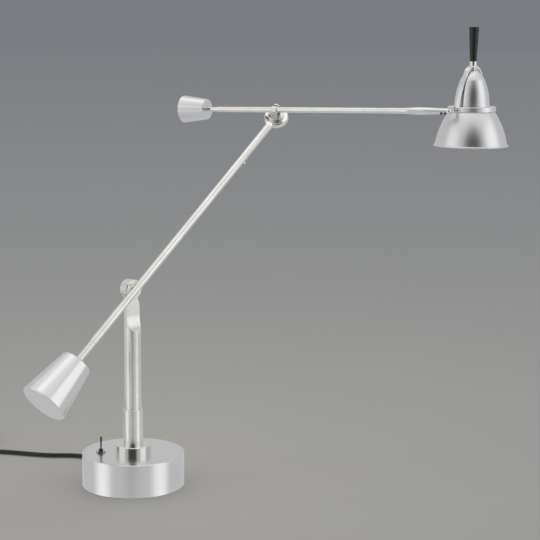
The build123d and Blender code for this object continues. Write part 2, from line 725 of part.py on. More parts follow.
def make_fork():
    start = UPPER_END + FACE_GAP
    tip = FORK_PIN_PLACE + FORK_TIP_RADIUS
    outline = make_face(
        Polyline((start, 0), (start, UPPER_RADIUS))
        + Spline(
            (start, UPPER_RADIUS),
            (FORK_SWELL_PLACE, FORK_SWELL_RADIUS),
            (FORK_PIN_PLACE - 6.0, FORK_TIP_RADIUS),
            tangents=((1, 0), (1, 0)),
        )
        + Line((FORK_PIN_PLACE - 6.0, FORK_TIP_RADIUS), (FORK_PIN_PLACE, FORK_TIP_RADIUS))
        + CenterArc((FORK_PIN_PLACE, 0), FORK_TIP_RADIUS, 90, -90)
        + Line((tip, 0), (start, 0))
    )
    body = revolve(Plane.XZ * outline, Axis.X)
    body += bar(spigot_radius, spigot_end, start)
    body -= bar(6.0, GROOVE_PLACE - GROOVE_WIDTH / 2, GROOVE_PLACE + GROOVE_WIDTH / 2, groove_floor)
    slot_length = tip + 10.0 - SLOT_START
    body -= block(slot_length, 40.0, SLOT_HEIGHT, (SLOT_START + slot_length / 2, 0, 0))
    body -= Pos(FORK_PIN_PLACE, 0, 0) * disc(YAW_PIN_RADIUS + FIXED_FIT, -20, 20)
    for place in FORK_SCREW_PLACES:
        body -= Pos(place, 0, screw_level) * pin(0.9 + FIXED_FIT, -10, 1.0)
        body -= Pos(place, 0, screw_level) * pin(FORK_SCREW_HEAD + FIXED_FIT, -10, -screw_seat)
    return body


def make_fork_screws():
    screws = Part()
    for place in FORK_SCREW_PLACES:
        shank = pin(0.9, -screw_seat - 0.5, 0.8)
        head = pin(FORK_SCREW_HEAD, -FORK_TIP_RADIUS + 0.4, -screw_seat)
        screws += Pos(place, 0, screw_level) * (shank + head)
    return screws


def make_yaw_pin():
    shank = disc(YAW_PIN_RADIUS, -FORK_TIP_RADIUS, FORK_TIP_RADIUS + 0.2)
    head = disc(2.4, FORK_TIP_RADIUS, FORK_TIP_RADIUS + 0.9)
    return shank + head


nodes["fork"] = fork_frame * make_fork()
nodes["fork_screws"] = fork_frame * make_fork_screws()
nodes["yaw_pin"] = pin_frame * make_yaw_pin()


# ---- head: Z up, X from the pin towards the shade, zero at the middle of the ring ----
hoop_outer = STRAP_FOOT_RADIUS + STRAP_THICKNESS / 2
strap_top_face = STRAP_TOP + STRAP_THICKNESS / 2
strap_under_face = STRAP_TOP - STRAP_THICKNESS / 2
rod_hole = ROD_RADIUS + FIXED_FIT
ferrule_top = strap_top_face + FERRULE_HEIGHT
handle_top = ferrule_top + HANDLE_LENGTH
rod_top = ferrule_top + ROD_IN_HANDLE
holder_bottom = HOLDER_TOP - HOLDER_HEIGHT
crown_drop = STRAP_TOP - STRAP_SHOULDER[1]
crown_radius = (STRAP_SHOULDER[0] ** 2 + crown_drop**2) / (2 * crown_drop)


def under_crown(radius):
    """A bar across the strap's crown, for faces that follow its curve."""
    return Pos(0, 0, STRAP_TOP - crown_radius) * pin(radius, -STRAP_WIDTH * 2, STRAP_WIDTH * 2)


def half_hoop():
    """One side of the strap's middle line, from its foot to the crown."""
    crown = (0, STRAP_TOP)
    half_turn = math.asin(STRAP_SHOULDER[0] / crown_radius) / 2
    crown_middle = (
        crown_radius * math.sin(half_turn),
        STRAP_TOP - crown_radius * (1 - math.cos(half_turn)),
    )
    foot = (STRAP_FOOT_RADIUS, RING_BOTTOM - STRAP_THICKNESS / 4)
    side = ThreePointArc(foot, STRAP_MIDDLE, STRAP_SHOULDER)
    return side + ThreePointArc(STRAP_SHOULDER, crown_middle, crown)


def make_strap():
    """The hoop over the shade, with a flat tongue that reaches into the fork."""
    band = Plane.XZ * trace(half_hoop(), STRAP_THICKNESS)
    side = extrude(band, STRAP_WIDTH / 2, both=True)
    hoop = Pos(STRAP_REACH, 0, 0) * (side + mirror(side, Plane.YZ))
    depth = STRAP_THICKNESS * 2
    hoop -= Pos(STRAP_REACH, 0, 0) * disc(rod_hole, STRAP_TOP - depth, STRAP_TOP + depth)
    hoop -= Pos(STRAP_REACH, 0, 0) * disc(hoop_outer * 2, RING_BOTTOM - depth, RING_BOTTOM)
    for side_sign in (-1, 1):
        place = Pos(STRAP_REACH + side_sign * STRAP_FOOT_RADIUS, 0, FOOT_SCREW_HEIGHT)
        hoop -= place * bar(FOOT_SCREW_RADIUS + FIXED_FIT, -depth, depth)
    return hoop


def make_tongue():
    half = TONGUE_THICKNESS / 2
    reach = STRAP_REACH - STRAP_FOOT_RADIUS
    eye = disc(TONGUE_EYE_RADIUS, -half, half)
    plate = block(reach, STRAP_WIDTH, TONGUE_THICKNESS, (reach / 2, 0, 0))
    return eye + plate - disc(YAW_PIN_RADIUS + RUNNING_FIT, -5, 5)


def make_foot_screws():
    screws = Part()
    for turn in (0, 180):
        shank = bar(FOOT_SCREW_RADIUS, STRAP_FOOT_RADIUS - 6.0, hoop_outer)
        head = bar(FOOT_SCREW_RADIUS * 1.8, hoop_outer + 0.2, hoop_outer + 1.2)
        neck = bar(FOOT_SCREW_RADIUS, hoop_outer, hoop_outer + 0.5)
        screws += Rot(0, 0, turn) * (shank + neck + head)
    return Pos(0, 0, FOOT_SCREW_HEIGHT) * screws


def make_ring():
    ring = disc(RING_EDGE_RADIUS, RING_BOTTOM, RING_TOP, RING_HOLE)
    ring = chamfer(ring.edges().group_by(Axis.Z)[-1].sort_by(SortBy.LENGTH)[-1], 0.6)
    height = RING_TOP - RING_BOTTOM
    depth = RING_EDGE_RADIUS - NOTCH_RADIUS
    for turn in (0, 180):
        notch = block(
            depth + 4.0,
            STRAP_WIDTH + 2 * FIXED_FIT,
            height + 2.0,
            (NOTCH_RADIUS + depth / 2 + 2.0, 0, (RING_TOP + RING_BOTTOM) / 2),
        )
        hole = Pos(0, 0, FOOT_SCREW_HEIGHT) * bar(
            FOOT_SCREW_RADIUS + FIXED_FIT, STRAP_FOOT_RADIUS - 7.0, RING_EDGE_RADIUS
        )
        ring -= Rot(0, 0, turn) * (notch + hole)
    return ring


def make_bell():
    """A spun shell with a flat top and a rolled rim."""
    half_wall = SHELL_WALL / 2
    top = (BELL_TOP_RADIUS - half_wall, RING_BOTTOM - half_wall)
    middle = (BELL_MIDDLE[0] - half_wall, BELL_MIDDLE[1])
    roll_height = BELL_RIM_HEIGHT + RIM_ROLL_RADIUS
    foot = (BELL_RIM_RADIUS - 2 * RIM_ROLL_RADIUS, roll_height + half_wall)
    wall = revolve(Plane.XZ * trace(ThreePointArc(top, middle, foot), SHELL_WALL), Axis.Z)
    flat = disc(BELL_TOP_RADIUS, RING_BOTTOM - SHELL_WALL, RING_BOTTOM, BELL_TOP_HOLE)
    rim = Pos(0, 0, roll_height) * Torus(BELL_RIM_RADIUS - RIM_ROLL_RADIUS, RIM_ROLL_RADIUS)
    body = wall + flat + rim
    return body - disc(BELL_TOP_RADIUS * 2, RING_BOTTOM, RING_BOTTOM + 10)


def make_ogive():
    """The pointed cover above the ring."""
    half_wall = SHELL_WALL / 2
    foot = (OGIVE_RADIUS - half_wall, RING_TOP)
    middle = (OGIVE_MIDDLE[0] - half_wall, OGIVE_MIDDLE[1])
    shoulder = (OGIVE_SHOULDER[0] - half_wall, OGIVE_SHOULDER[1])
    nose = (OGIVE_NOSE[0] - half_wall, OGIVE_NOSE[1] - half_wall)
    top = (OGIVE_TOP_RADIUS, OGIVE_TOP - half_wall)
    line = ThreePointArc(foot, middle, shoulder) + ThreePointArc(shoulder, nose, top)
    wall = revolve(Plane.XZ * trace(line, SHELL_WALL), Axis.Z)
    flat = disc(OGIVE_TOP_RADIUS + half_wall, OGIVE_TOP - SHELL_WALL, OGIVE_TOP)
    body = wall + flat - disc(rod_hole, OGIVE_TOP - 5, OGIVE_TOP + 5)
    above = disc(OGIVE_RADIUS * 2, OGIVE_TOP, OGIVE_TOP + 5)
    below = disc(OGIVE_RADIUS * 2, RING_TOP - 5, RING_TOP)
    return body - above - below


def make_nipple():
    nipple = disc(NIPPLE_RADIUS, OGIVE_TOP, strap_under_face + 1.0, rod_hole)
    nipple = chamfer(nipple.edges().group_by(Axis.Z)[0].sort_by(SortBy.LENGTH)[-1], 0.8)
    return nipple & under_crown(crown_radius - STRAP_THICKNESS / 2)


def make_ferrule():
    ferrule = disc(FERRULE_RADIUS, STRAP_TOP - 1.0, ferrule_top, rod_hole)
    return ferrule - under_crown(crown_radius + STRAP_THICKNESS / 2)


def make_handle():
    body = turned(
        [
            (0, ferrule_top),
            (HANDLE_FOOT_RADIUS, ferrule_top),
            (HANDLE_TOP_RADIUS, handle_top),
            (0, handle_top),
        ]
    )
    body = fillet(body.edges().filter_by(GeomType.CIRCLE).group_by(Axis.Z)[-1], 0.7)
    return body - disc(rod_hole, ferrule_top - 1, rod_top + 0.5)


def make_holder():
    body = disc(HOLDER_RADIUS, holder_bottom, HOLDER_TOP)
    body = chamfer(body.edges().group_by(Axis.Z)[0], 1.0)
    flange = disc(RING_HOLE + 4.0, RING_BOTTOM - 2.0, RING_BOTTOM)
    return body + flange - disc(rod_hole, HOLDER_TOP - ROD_IN_HOLDER, HOLDER_TOP + 1)


def make_bulb():
    tip = holder_bottom - BULB_LENGTH
    glass = disc(BULB_RADIUS, tip, holder_bottom - 2.0)
    glass = fillet(glass.edges().group_by(Axis.Z)[0], BULB_RADIUS * 0.9)
    return glass + disc(BULB_RADIUS * 0.7, holder_bottom - 2.5, holder_bottom)


nodes["strap"] = strap_frame * make_strap() + tongue_frame * make_tongue()
nodes["foot_screws"] = shade_frame * make_foot_screws()
nodes["shade_ring"] = shade_frame * make_ring()
nodes["bell_shell"] = shade_frame * make_bell()
nodes["ogive_shell"] = shade_frame * make_ogive()
nodes["nipple"] = shade_frame * make_nipple()
nodes["ferrule"] = shade_frame * make_ferrule()
nodes["handle"] = shade_frame * make_handle()
nodes["tie_rod"] = shade_frame * disc(ROD_RADIUS, HOLDER_TOP - ROD_IN_HOLDER + 0.5, rod_top)
nodes["lamp_holder"] = shade_frame * make_holder()
nodes["bulb"] = shade_frame * make_bulb()

# ---- toggle switch on top of the base ----
bush_top = BASE_HEIGHT + SWITCH_BUSH_TOP
switch_frame = Pos(switch_x, switch_y, 0)
lever_height = bush_top - LEVER_DROP
lever_frame = Pos(switch_x, switch_y, lever_height) * Rot(-LEVER_LEAN, 0, 0)


def make_switch_body():
    length, width, height = SWITCH_BODY
    body = block(length, width, height, (0, 0, shell_roof - height / 2))
    bush = disc(SWITCH_BUSH_RADIUS, shell_roof, bush_top)
    bore = disc(LEVER_BALL + RUNNING_FIT, lever_height - LEVER_BALL - FACE_GAP, bush_top + 1)
    pivot = bar(LEVER_PIN_RADIUS + RUNNING_FIT, -SWITCH_BUSH_RADIUS, SWITCH_BUSH_RADIUS)
    return body + bush - bore - Pos(0, 0, lever_height) * pivot


def make_switch_nut():
    top = BASE_HEIGHT + SWITCH_NUT_HEIGHT
    nut = extrude(Plane.XY.offset(BASE_HEIGHT) * RegularPolygon(SWITCH_NUT_RADIUS, 6), top - BASE_HEIGHT)
    return nut - disc(SWITCH_BUSH_RADIUS + FIXED_FIT, BASE_HEIGHT - 1, top + 1)


def make_lever():
    rod = turned([(0, 0), (LEVER_ROOT, 0), (LEVER_TIP, LEVER_LENGTH), (0, LEVER_LENGTH)])
    rod = fillet(rod.edges().filter_by(GeomType.CIRCLE).group_by(Axis.Z)[-1], LEVER_TIP * 0.6)
    return rod + Sphere(LEVER_BALL) + bar(LEVER_PIN_RADIUS, -LEVER_PIN_HALF, LEVER_PIN_HALF)


nodes["switch_body"] = switch_frame * make_switch_body()
nodes["switch_nut"] = switch_frame * make_switch_nut()
nodes["switch_lever"] = lever_frame * make_lever()

# ---- lead: out of the back of the base, along the table, into a coil ----
coil_first = math.radians(COIL_ENTRY)
coil_turns = 2 * COIL_TURNS_IN
reverse_start = COIL_TURNS_IN * 2 * math.pi
reverse_end = reverse_start + math.pi
coil_total = coil_turns * 2 * math.pi
coil_inner = COIL_OUTER - COIL_TURNS_IN * COIL_PITCH


def coil_point(turned_by):
    """Place on the coil after this much turning, and the direction there."""
    angle = coil_first - turned_by
    rate = COIL_PITCH / (2 * math.pi)
    if turned_by <= reverse_start:
        radius = COIL_OUTER - rate * turned_by
        radius_rate = -rate
        height = CORD_RADIUS
        height_rate = 0.0
    elif turned_by < reverse_end:
        share = (turned_by - reverse_start) / math.pi
        radius = coil_inner - COIL_PITCH / 2 * (share - share**2)
        radius_rate = -rate * (1 - 2 * share)
        height = CORD_RADIUS + COIL_PITCH * (3 * share**2 - 2 * share**3)
        height_rate = COIL_PITCH * (6 * share - 6 * share**2) / math.pi
    else:
        radius = coil_inner + rate * (turned_by - reverse_end)
        radius_rate = rate
        height = CORD_RADIUS + COIL_PITCH
        height_rate = 0.0
    outward = Vector(math.cos(angle), math.sin(angle), 0)
    onward = Vector(math.sin(angle), -math.cos(angle), 0)
    place = Vector(*COIL_CENTRE, height) + outward * radius
    return place, onward * radius + outward * radius_rate + Vector(0, 0, height_rate)


def biarc(start, start_way, end, end_way):
    """Two arcs that leave one point and reach the next in the given directions."""
    start_way = start_way.normalized()
    end_way = end_way.normalized()
    across = end - start
    both = start_way + end_way
    a = both.dot(both) - 4.0
    b = -2.0 * across.dot(both)
    c = across.dot(across)
    step = (-b - math.sqrt(b * b - 4 * a * c)) / (2 * a)
    middle = (start + start_way * step + end - end_way * step) / 2
    middle_way = (end - end_way * step) - (start + start_way * step)
    first = TangentArc(start, middle, tangent=start_way)
    second = TangentArc(middle, end, tangent=middle_way)
    return [first, second]


def tube(path):
    """A round cord along a path of lines and arcs."""
    return sweep(Plane(origin=path @ 0, z_dir=path % 0) * Circle(CORD_RADIUS), path=path)


def rounded_path(points):
    """Straight runs joined by arcs as large as the runs allow."""
    radii = []
    for before, corner, after in zip(points, points[1:], points[2:]):
        shorter = min((corner - before).length, (after - corner).length)
        turn = math.radians((corner - before).get_angle(after - corner))
        radii.append(0.45 * shorter / math.tan(turn / 2))
    return FilletPolyline(*points, radius=radii), radii


coil_start, coil_start_way = coil_point(0.0)
coil_end, coil_end_way = coil_point(coil_total)
coil_start_way = coil_start_way.normalized()
coil_end_way = coil_end_way.normalized()
lead_in = coil_start - coil_start_way * (2 * CORD_RADIUS)
lead_out = coil_end + coil_end_way * (2 * CORD_RADIUS)


def coil_path():
    quarter_count = round(coil_total / (math.pi / 2))
    edges = [Line(lead_in, coil_start)]
    for quarter in range(quarter_count):
        start, start_way = coil_point(quarter * math.pi / 2)
        end, end_way = coil_point((quarter + 1) * math.pi / 2)
        edges += biarc(start, start_way, end, end_way)
    edges.append(Line(coil_end, lead_out))
    return Wire([edge for line in edges for edge in line.edges()])


def least_gap():
    """Least distance between two turns of the coil, less the cord's own width."""
    step = math.pi / 48
    places = [coil_point(index * step)[0] for index in range(round(coil_total / step) + 1)]
    apart = round(math.pi / 2 / step)
    least = 1000.0
    for index, place in enumerate(places):
        for other in places[index + apart :]:
            least = min(least, (place - other).length)
    return least - 2 * CORD_RADIUS


gland_tip = (gland_frame * Pos(GLAND_LENGTH, 0, 0)).position
run_points = [
    gland_tip,
    (gland_frame * Pos(GLAND_LENGTH + CORD_FIRST_RUN, 0, 0)).position,
    *[Vector(*point) for point in CORD_ROUTE],
    lead_in - coil_start_way * CORD_LAST_RUN,
    lead_in,
]
run_path, run_radii = rounded_path(run_points)

tail_points = [lead_out]
for length, turn, height in TAIL_RUNS:
    heading = math.atan2(coil_end_way.Y, coil_end_way.X) - math.radians(turn)
    flat_step = Vector(math.cos(heading), math.sin(heading), 0) * length
    tail_points.append(tail_points[-1] + flat_step)
    tail_points[-1].Z = height
tail_path, tail_radii = rounded_path(tail_points)
plug_frame = Location(
    Plane(origin=tail_path @ 1, x_dir=Vector(0, 0, 1), z_dir=tail_points[-1] - tail_points[-2])
)


def make_gland():
    """A tapered strain relief with a flange on each side of the base's wall."""
    return gland_frame * turned(
        [
            (-BASE_WALL - 3.2, 0),
            (-BASE_WALL - 3.2, GLAND_FLANGE_RADIUS),
            (-BASE_WALL - 0.6, GLAND_FLANGE_RADIUS),
            (-BASE_WALL - 0.6, GLAND_TIP_RADIUS),
            (0, GLAND_TIP_RADIUS),
            (0, GLAND_FLANGE_RADIUS),
            (2.5, GLAND_FLANGE_RADIUS),
            (4.0, GLAND_TIP_RADIUS + 1.6),
            (GLAND_LENGTH, GLAND_TIP_RADIUS),
            (GLAND_LENGTH, 0),
        ],
        Axis.X,
    )


def make_plug():
    cord_end = RectangleRounded(PLUG_THICKNESS - 3.0, PLUG_THICKNESS - 1.0, 4.0)
    face_end = RectangleRounded(PLUG_THICKNESS, PLUG_WIDTH, 4.0)
    body = loft([cord_end, Plane.XY.offset(PLUG_LENGTH) * face_end], ruled=True)
    for side in (-1, 1):
        hole = Pos(0, side * PIN_SPREAD / 2, 0) * disc(
            PIN_RADIUS + FIXED_FIT, PLUG_LENGTH - 8.0, PLUG_LENGTH + 1
        )
        body -= hole
    return body


def make_plug_pins():
    pins = Part()
    for side in (-1, 1):
        shank = disc(PIN_RADIUS, PLUG_LENGTH - 7.5, PLUG_LENGTH + PIN_LENGTH)
        shank = fillet(shank.edges().group_by(Axis.Z)[-1], PIN_RADIUS * 0.7)
        pins += Pos(0, side * PIN_SPREAD / 2, 0) * shank
    return pins


nodes["gland"] = make_gland()
nodes["cord_run"] = tube(run_path)
nodes["cord_coil"] = tube(coil_path())
nodes["cord_tail"] = tube(tail_path)
nodes["plug"] = plug_frame * make_plug()
nodes["plug_pins"] = plug_frame * make_plug_pins()

# ---- what the cord came to ----
section = math.pi * CORD_RADIUS**2
coil_length = coil_path().length
print("radii of the lead's bends:", [round(radius, 1) for radius in run_radii + tail_radii])
print("least gap between turns:", round(least_gap(), 2))
print("run volume over section x length:", nodes["cord_run"].volume / section / run_path.length)
print("coil volume over section x length:", nodes["cord_coil"].volume / section / coil_length)
print("whole lead:", round(run_path.length + coil_length + tail_path.length))

for name, shape in nodes.items():
    export_step(shape, f"parts/{name}.step")
print("nodes:", len(nodes))
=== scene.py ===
import math

import bpy
import numpy as np
from mathutils import Matrix, Vector


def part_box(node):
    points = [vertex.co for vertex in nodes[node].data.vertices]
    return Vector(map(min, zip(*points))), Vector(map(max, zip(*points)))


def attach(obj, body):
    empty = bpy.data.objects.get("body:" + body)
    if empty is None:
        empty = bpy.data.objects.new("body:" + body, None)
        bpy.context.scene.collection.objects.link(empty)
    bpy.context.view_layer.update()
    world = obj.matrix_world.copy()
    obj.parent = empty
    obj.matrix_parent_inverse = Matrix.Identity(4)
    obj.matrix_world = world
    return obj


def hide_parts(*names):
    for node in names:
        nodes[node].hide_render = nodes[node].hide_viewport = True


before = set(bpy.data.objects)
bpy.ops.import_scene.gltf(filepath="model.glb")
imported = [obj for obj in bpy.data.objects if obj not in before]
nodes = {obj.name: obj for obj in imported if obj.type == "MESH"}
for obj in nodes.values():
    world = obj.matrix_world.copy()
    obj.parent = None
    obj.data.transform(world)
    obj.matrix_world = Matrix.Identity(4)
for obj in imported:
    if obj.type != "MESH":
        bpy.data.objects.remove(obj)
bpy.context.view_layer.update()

# Lengths are in metres and angles in degrees, unless a comment says otherwise.

# ---- camera: the photograph's place and angle ----
CAMERA_PLACE = (0.1995, -2.177, 0.674)
CAMERA_PITCH = 9.19  # down from level
CAMERA_ROLL = 0.49
CAMERA_LENS = 101.6  # millimetres
SENSOR_WIDTH = 36.0  # millimetres
VIEW_REACH = 100.0


def make_camera():
    data = bpy.data.cameras.new("camera")
    data.sensor_fit = "HORIZONTAL"
    data.sensor_width = SENSOR_WIDTH
    data.lens = CAMERA_LENS
    data.clip_end = VIEW_REACH
    camera = bpy.data.objects.new("camera", data)
    tilt = Matrix.Rotation(math.radians(90.0 - CAMERA_PITCH), 4, "X")
    roll = Matrix.Rotation(math.radians(CAMERA_ROLL), 4, "Z")
    camera.matrix_world = Matrix.Translation(CAMERA_PLACE) @ tilt @ roll
    bpy.context.scene.collection.objects.link(camera)
    bpy.context.scene.camera = camera


# ---- lead: out of the base, along the table, into a coil, and to the plug ----
CORD_RADIUS = 0.0035
CORD_EXIT = (-0.0514, 0.0823, 0.0130)
CORD_ROUTE = [
    (-0.0588, 0.0941, 0.0130),
    (-0.0660, 0.1070, 0.0088),
    (-0.0770, 0.1205, 0.0048),
    (-0.0920, 0.1300, 0.0035),
    (-0.1120, 0.1335, 0.0035),
    (-0.1400, 0.1315, 0.0035),
    (-0.1720, 0.1380, 0.0035),
    (-0.2020, 0.1465, 0.0035),
    (-0.2320, 0.1520, 0.0035),
    (-0.2642, 0.1586, 0.0035),
]
COIL_CENTRE = (-0.300, 0.222)
COIL_OUTER = 0.052  # radius of the outermost turn at the entry
COIL_PITCH = 0.0077  # from turn to turn, and from layer to layer
COIL_TURNS_IN = 3  # as many turns lead out again on the upper layer
COIL_CLIMB = 0.5  # turns on the way up to the upper layer
COIL_ENTRY = -105.0  # round the coil's centre
COIL_POINTS = 24  # for each turn
# Each run's length, its turn to the right of the coil's last heading, and the height of its end.
TAIL_RUNS = [(0.026, 0.0, 0.0112), (0.028, 25.0, 0.0069), (0.024, 53.0, 0.0069)]
CORD_BEVEL_STEPS = 6
CORD_CURVE_STEPS = 8


def coil_points():
    """Points of the coil: in on the table, up a layer, and out again."""
    inner = COIL_OUTER - COIL_TURNS_IN * COIL_PITCH
    points = []
    for index in range(2 * COIL_TURNS_IN * COIL_POINTS + 1):
        turns = index / COIL_POINTS
        climbed = turns - COIL_TURNS_IN
        if climbed <= 0:
            radius = COIL_OUTER - COIL_PITCH * turns
            height = CORD_RADIUS
        elif climbed < COIL_CLIMB:
            share = climbed / COIL_CLIMB
            radius = inner - COIL_PITCH / 2 * (share - share**2)
            height = CORD_RADIUS + COIL_PITCH * (3 * share**2 - 2 * share**3)
        else:
            radius = inner + COIL_PITCH * (climbed - COIL_CLIMB)
            height = CORD_RADIUS + COIL_PITCH
        angle = math.radians(COIL_ENTRY) - 2 * math.pi * turns
        x = COIL_CENTRE[0] + radius * math.cos(angle)
        y = COIL_CENTRE[1] + radius * math.sin(angle)
        points.append(Vector((x, y, height)))
    return points


def cord_points():
    """Control points of the whole lead, from its exit to the plug."""
    coil = coil_points()
    points = [Vector(CORD_EXIT)] + [Vector(point) for point in CORD_ROUTE] + coil
    heading = math.radians(COIL_ENTRY - 90.0)
    place = coil[-1] + Vector((math.cos(heading), math.sin(heading), 0)) * (2 * CORD_RADIUS)
    points.append(place)
    for length, turn, height in TAIL_RUNS:
        way = heading - math.radians(turn)
        place = place + Vector((math.cos(way), math.sin(way), 0)) * length
        place.z = height
        points.append(place)
    return points


def make_cord():
    curve = bpy.data.curves.new("mains_lead", "CURVE")
    curve.dimensions = "3D"
    curve.bevel_depth = 1.0  # the points' radii give the lead its thickness
    curve.bevel_resolution = CORD_BEVEL_STEPS
    curve.resolution_u = CORD_CURVE_STEPS
    curve.use_fill_caps = True
    points = cord_points()
    spline = curve.splines.new("NURBS")
    spline.points.add(len(points) - 1)
    for point, place in zip(spline.points, points):
        point.co = (*place, 1.0)
        point.radius = CORD_RADIUS
    spline.order_u = 3
    spline.use_endpoint_u = True
    cord = bpy.data.objects.new("mains_lead", curve)
    bpy.context.scene.collection.objects.link(cord)
    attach(cord, "base")
    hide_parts("cord_run", "cord_coil", "cord_tail")
    return cord


make_camera()
cord = make_cord()


# ---- places and directions read from the frame ----
def long_axis(node):
    """Middle and direction of a long straight piece."""
    points = np.array([vertex.co for vertex in nodes[node].data.vertices], float)
    middle = (points.max(0) + points.min(0)) / 2
    spread = points - points.mean(0)
    way = np.linalg.svd(spread, full_matrices=False)[2][0]
    return Vector(middle), Vector(way).normalized()


def box_middle(node):
    low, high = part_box(node)
    return (low + high) / 2


UP = Vector((0, 0, 1))
lower_middle, lower_way = long_axis("lower_tube")
upper_middle, upper_way = long_axis("upper_tube")
shade_middle = box_middle("bell_shell")
base_middle = box_middle("base_shell")


# ---- nodes ----
NOISE_SPAN = (0.3, 0.7)  # where nearly all the values of a noise lie


def opaque(colour):
    return (*colour, 1.0)


class Graph:
    """Short ways to make and join the nodes of a material or of the world."""

    def __init__(self, tree):
        self.nodes = tree.nodes
        self.links = tree.links

    def feed(self, socket, value):
        """Links a socket to another node's output, or sets its value."""
        if isinstance(value, bpy.types.NodeSocket):
            self.links.new(value, socket)
        else:
            socket.default_value = value

    def fill(self, node, **inputs):
        """Feeds a node's inputs; _ stands for the space in a name."""
        for name, value in inputs.items():
            self.feed(node.inputs[name.replace("_", " ")], value)

    def add(self, kind, **inputs):
        node = self.nodes.new(f"ShaderNode{kind}")
        self.fill(node, **inputs)
        return node

    def maths(self, kind, first, second=None):
        node = self.add("Math")
        node.operation = kind
        self.feed(node.inputs[0], first)
        if second is not None:
            self.feed(node.inputs[1], second)
        return node.outputs["Value"]

    def vector(self, kind, first, second=None, scale=None):
        node = self.add("VectorMath")
        node.operation = kind
        self.feed(node.inputs[0], first)
        if second is not None:
            self.feed(node.inputs[1], second)
        if scale is not None:
            self.feed(node.inputs["Scale"], scale)
        return node.outputs["Value" if kind in ("DOT_PRODUCT", "LENGTH") else "Vector"]

    def mapped(self, value, to_span, from_span=NOISE_SPAN, kind="LINEAR"):
        """Stretches a value from one span over another, and holds it at their ends."""
        node = self.add("MapRange", Value=value, From_Min=from_span[0], From_Max=from_span[1])
        self.fill(node, To_Min=to_span[0], To_Max=to_span[1])
        node.interpolation_type = kind
        return node.outputs["Result"]

    def mixed(self, share, first, second):
        """Two shaders' outputs mixed by the share of the second."""
        node = self.add("MixShader", Fac=share)
        self.feed(node.inputs[1], first)
        self.feed(node.inputs[2], second)
        return node.outputs["Shader"]


class Finish(Graph):
    """The nodes of one material, with values for its shader."""

    def __init__(self, name, **values):
        self.material = bpy.data.materials.new(name)
        self.material.use_nodes = True
        super().__init__(self.material.node_tree)
        self.nodes.clear()
        self.shader = self.add("BsdfPrincipled", **values)
        self.output = self.add("OutputMaterial", Surface=self.shader.outputs["BSDF"])
        self.place = self.add("TexCoord").outputs["Object"]

    def noise(self, scale, detail, roughness=0.5, place=None):
        """Noise over the piece, or over other coordinates."""
        node = self.add("TexNoise", Scale=scale, Detail=detail, Roughness=roughness)
        self.feed(node.inputs["Vector"], self.place if place is None else place)
        return node.outputs["Fac"]

    def noise_along(self, line, scale, detail, roughness=0.5):
        """Noise that changes with one measure only."""
        node = self.add("TexNoise", Scale=scale, Detail=detail, Roughness=roughness)
        node.noise_dimensions = "1D"
        self.feed(node.inputs["W"], line)
        return node.outputs["Fac"]

    def tint(self, value, colours):
        """Base colour that goes with a value from the dark colour to the light one."""
        node = self.add("ValToRGB", Fac=value)
        for stop, position, colour in zip(node.color_ramp.elements, NOISE_SPAN, colours):
            stop.position = position
            stop.color = opaque(colour)
        self.fill(self.shader, Base_Color=node.outputs["Color"])

    def roughen(self, value):
        self.fill(self.shader, Roughness=value)

    def bump(self, height, strength, distance):
        node = self.add("Bump", Strength=strength, Distance=distance, Height=height)
        self.fill(self.shader, Normal=node.outputs["Normal"])


# ---- kinds of material; scales are in waves for each metre ----
MARK_DEPTH = 0.00002  # of the rings and the buffing marks
RING_PITCH = 0.0004  # between the fine rings of turned metal
RING_SWING = (-0.10, 0.10)  # share of the roughness that the rings add
RING_STRENGTH = 0.10
RING_SMUDGE_SCALE = 18.0
RING_SMUDGE_SWING = (0.9, 1.1)  # share of the roughness that smudges leave
BUFF_SCALE = 30.0
BUFF_CLOSENESS = 90.0  # times the scale gives the marks' waves for each metre
BUFF_SWING = (-0.25, 0.25)
BUFF_STRENGTH = 0.03
BUFF_SMUDGE_SCALE = 35.0
BUFF_SMUDGE_SWING = (0.75, 1.35)
RIPPLE_SCALE = 40.0  # of the soft waves along a polished piece
GRAIN_DEPTH = 0.0001
WEAR_WIDTH = 20.0  # how many times wider than the grain the worn places are
WEAR_SWING = (0.8, 1.25)


def turned_metal(name, colours, roughness, middle, way):
    """Metal finished on a lathe: fine rings round an axis, and soft smudges."""
    graph = Finish(name, Metallic=1.0)
    from_middle = graph.vector("SUBTRACT", graph.place, middle)
    along = graph.vector("DOT_PRODUCT", from_middle, way)
    across = graph.vector("LENGTH", graph.vector("CROSS_PRODUCT", from_middle, way))
    ring = graph.maths("ADD", along, across)
    fine = graph.noise_along(ring, 1.0 / RING_PITCH, detail=4.0, roughness=0.7)
    smudge = graph.noise(RING_SMUDGE_SCALE, detail=4.0)
    rings = graph.mapped(fine, RING_SWING)
    swing = graph.maths("ADD", rings, graph.mapped(smudge, RING_SMUDGE_SWING))
    graph.roughen(graph.maths("MULTIPLY", swing, roughness))
    graph.tint(fine, colours)
    graph.bump(fine, RING_STRENGTH, MARK_DEPTH)
    return graph.material


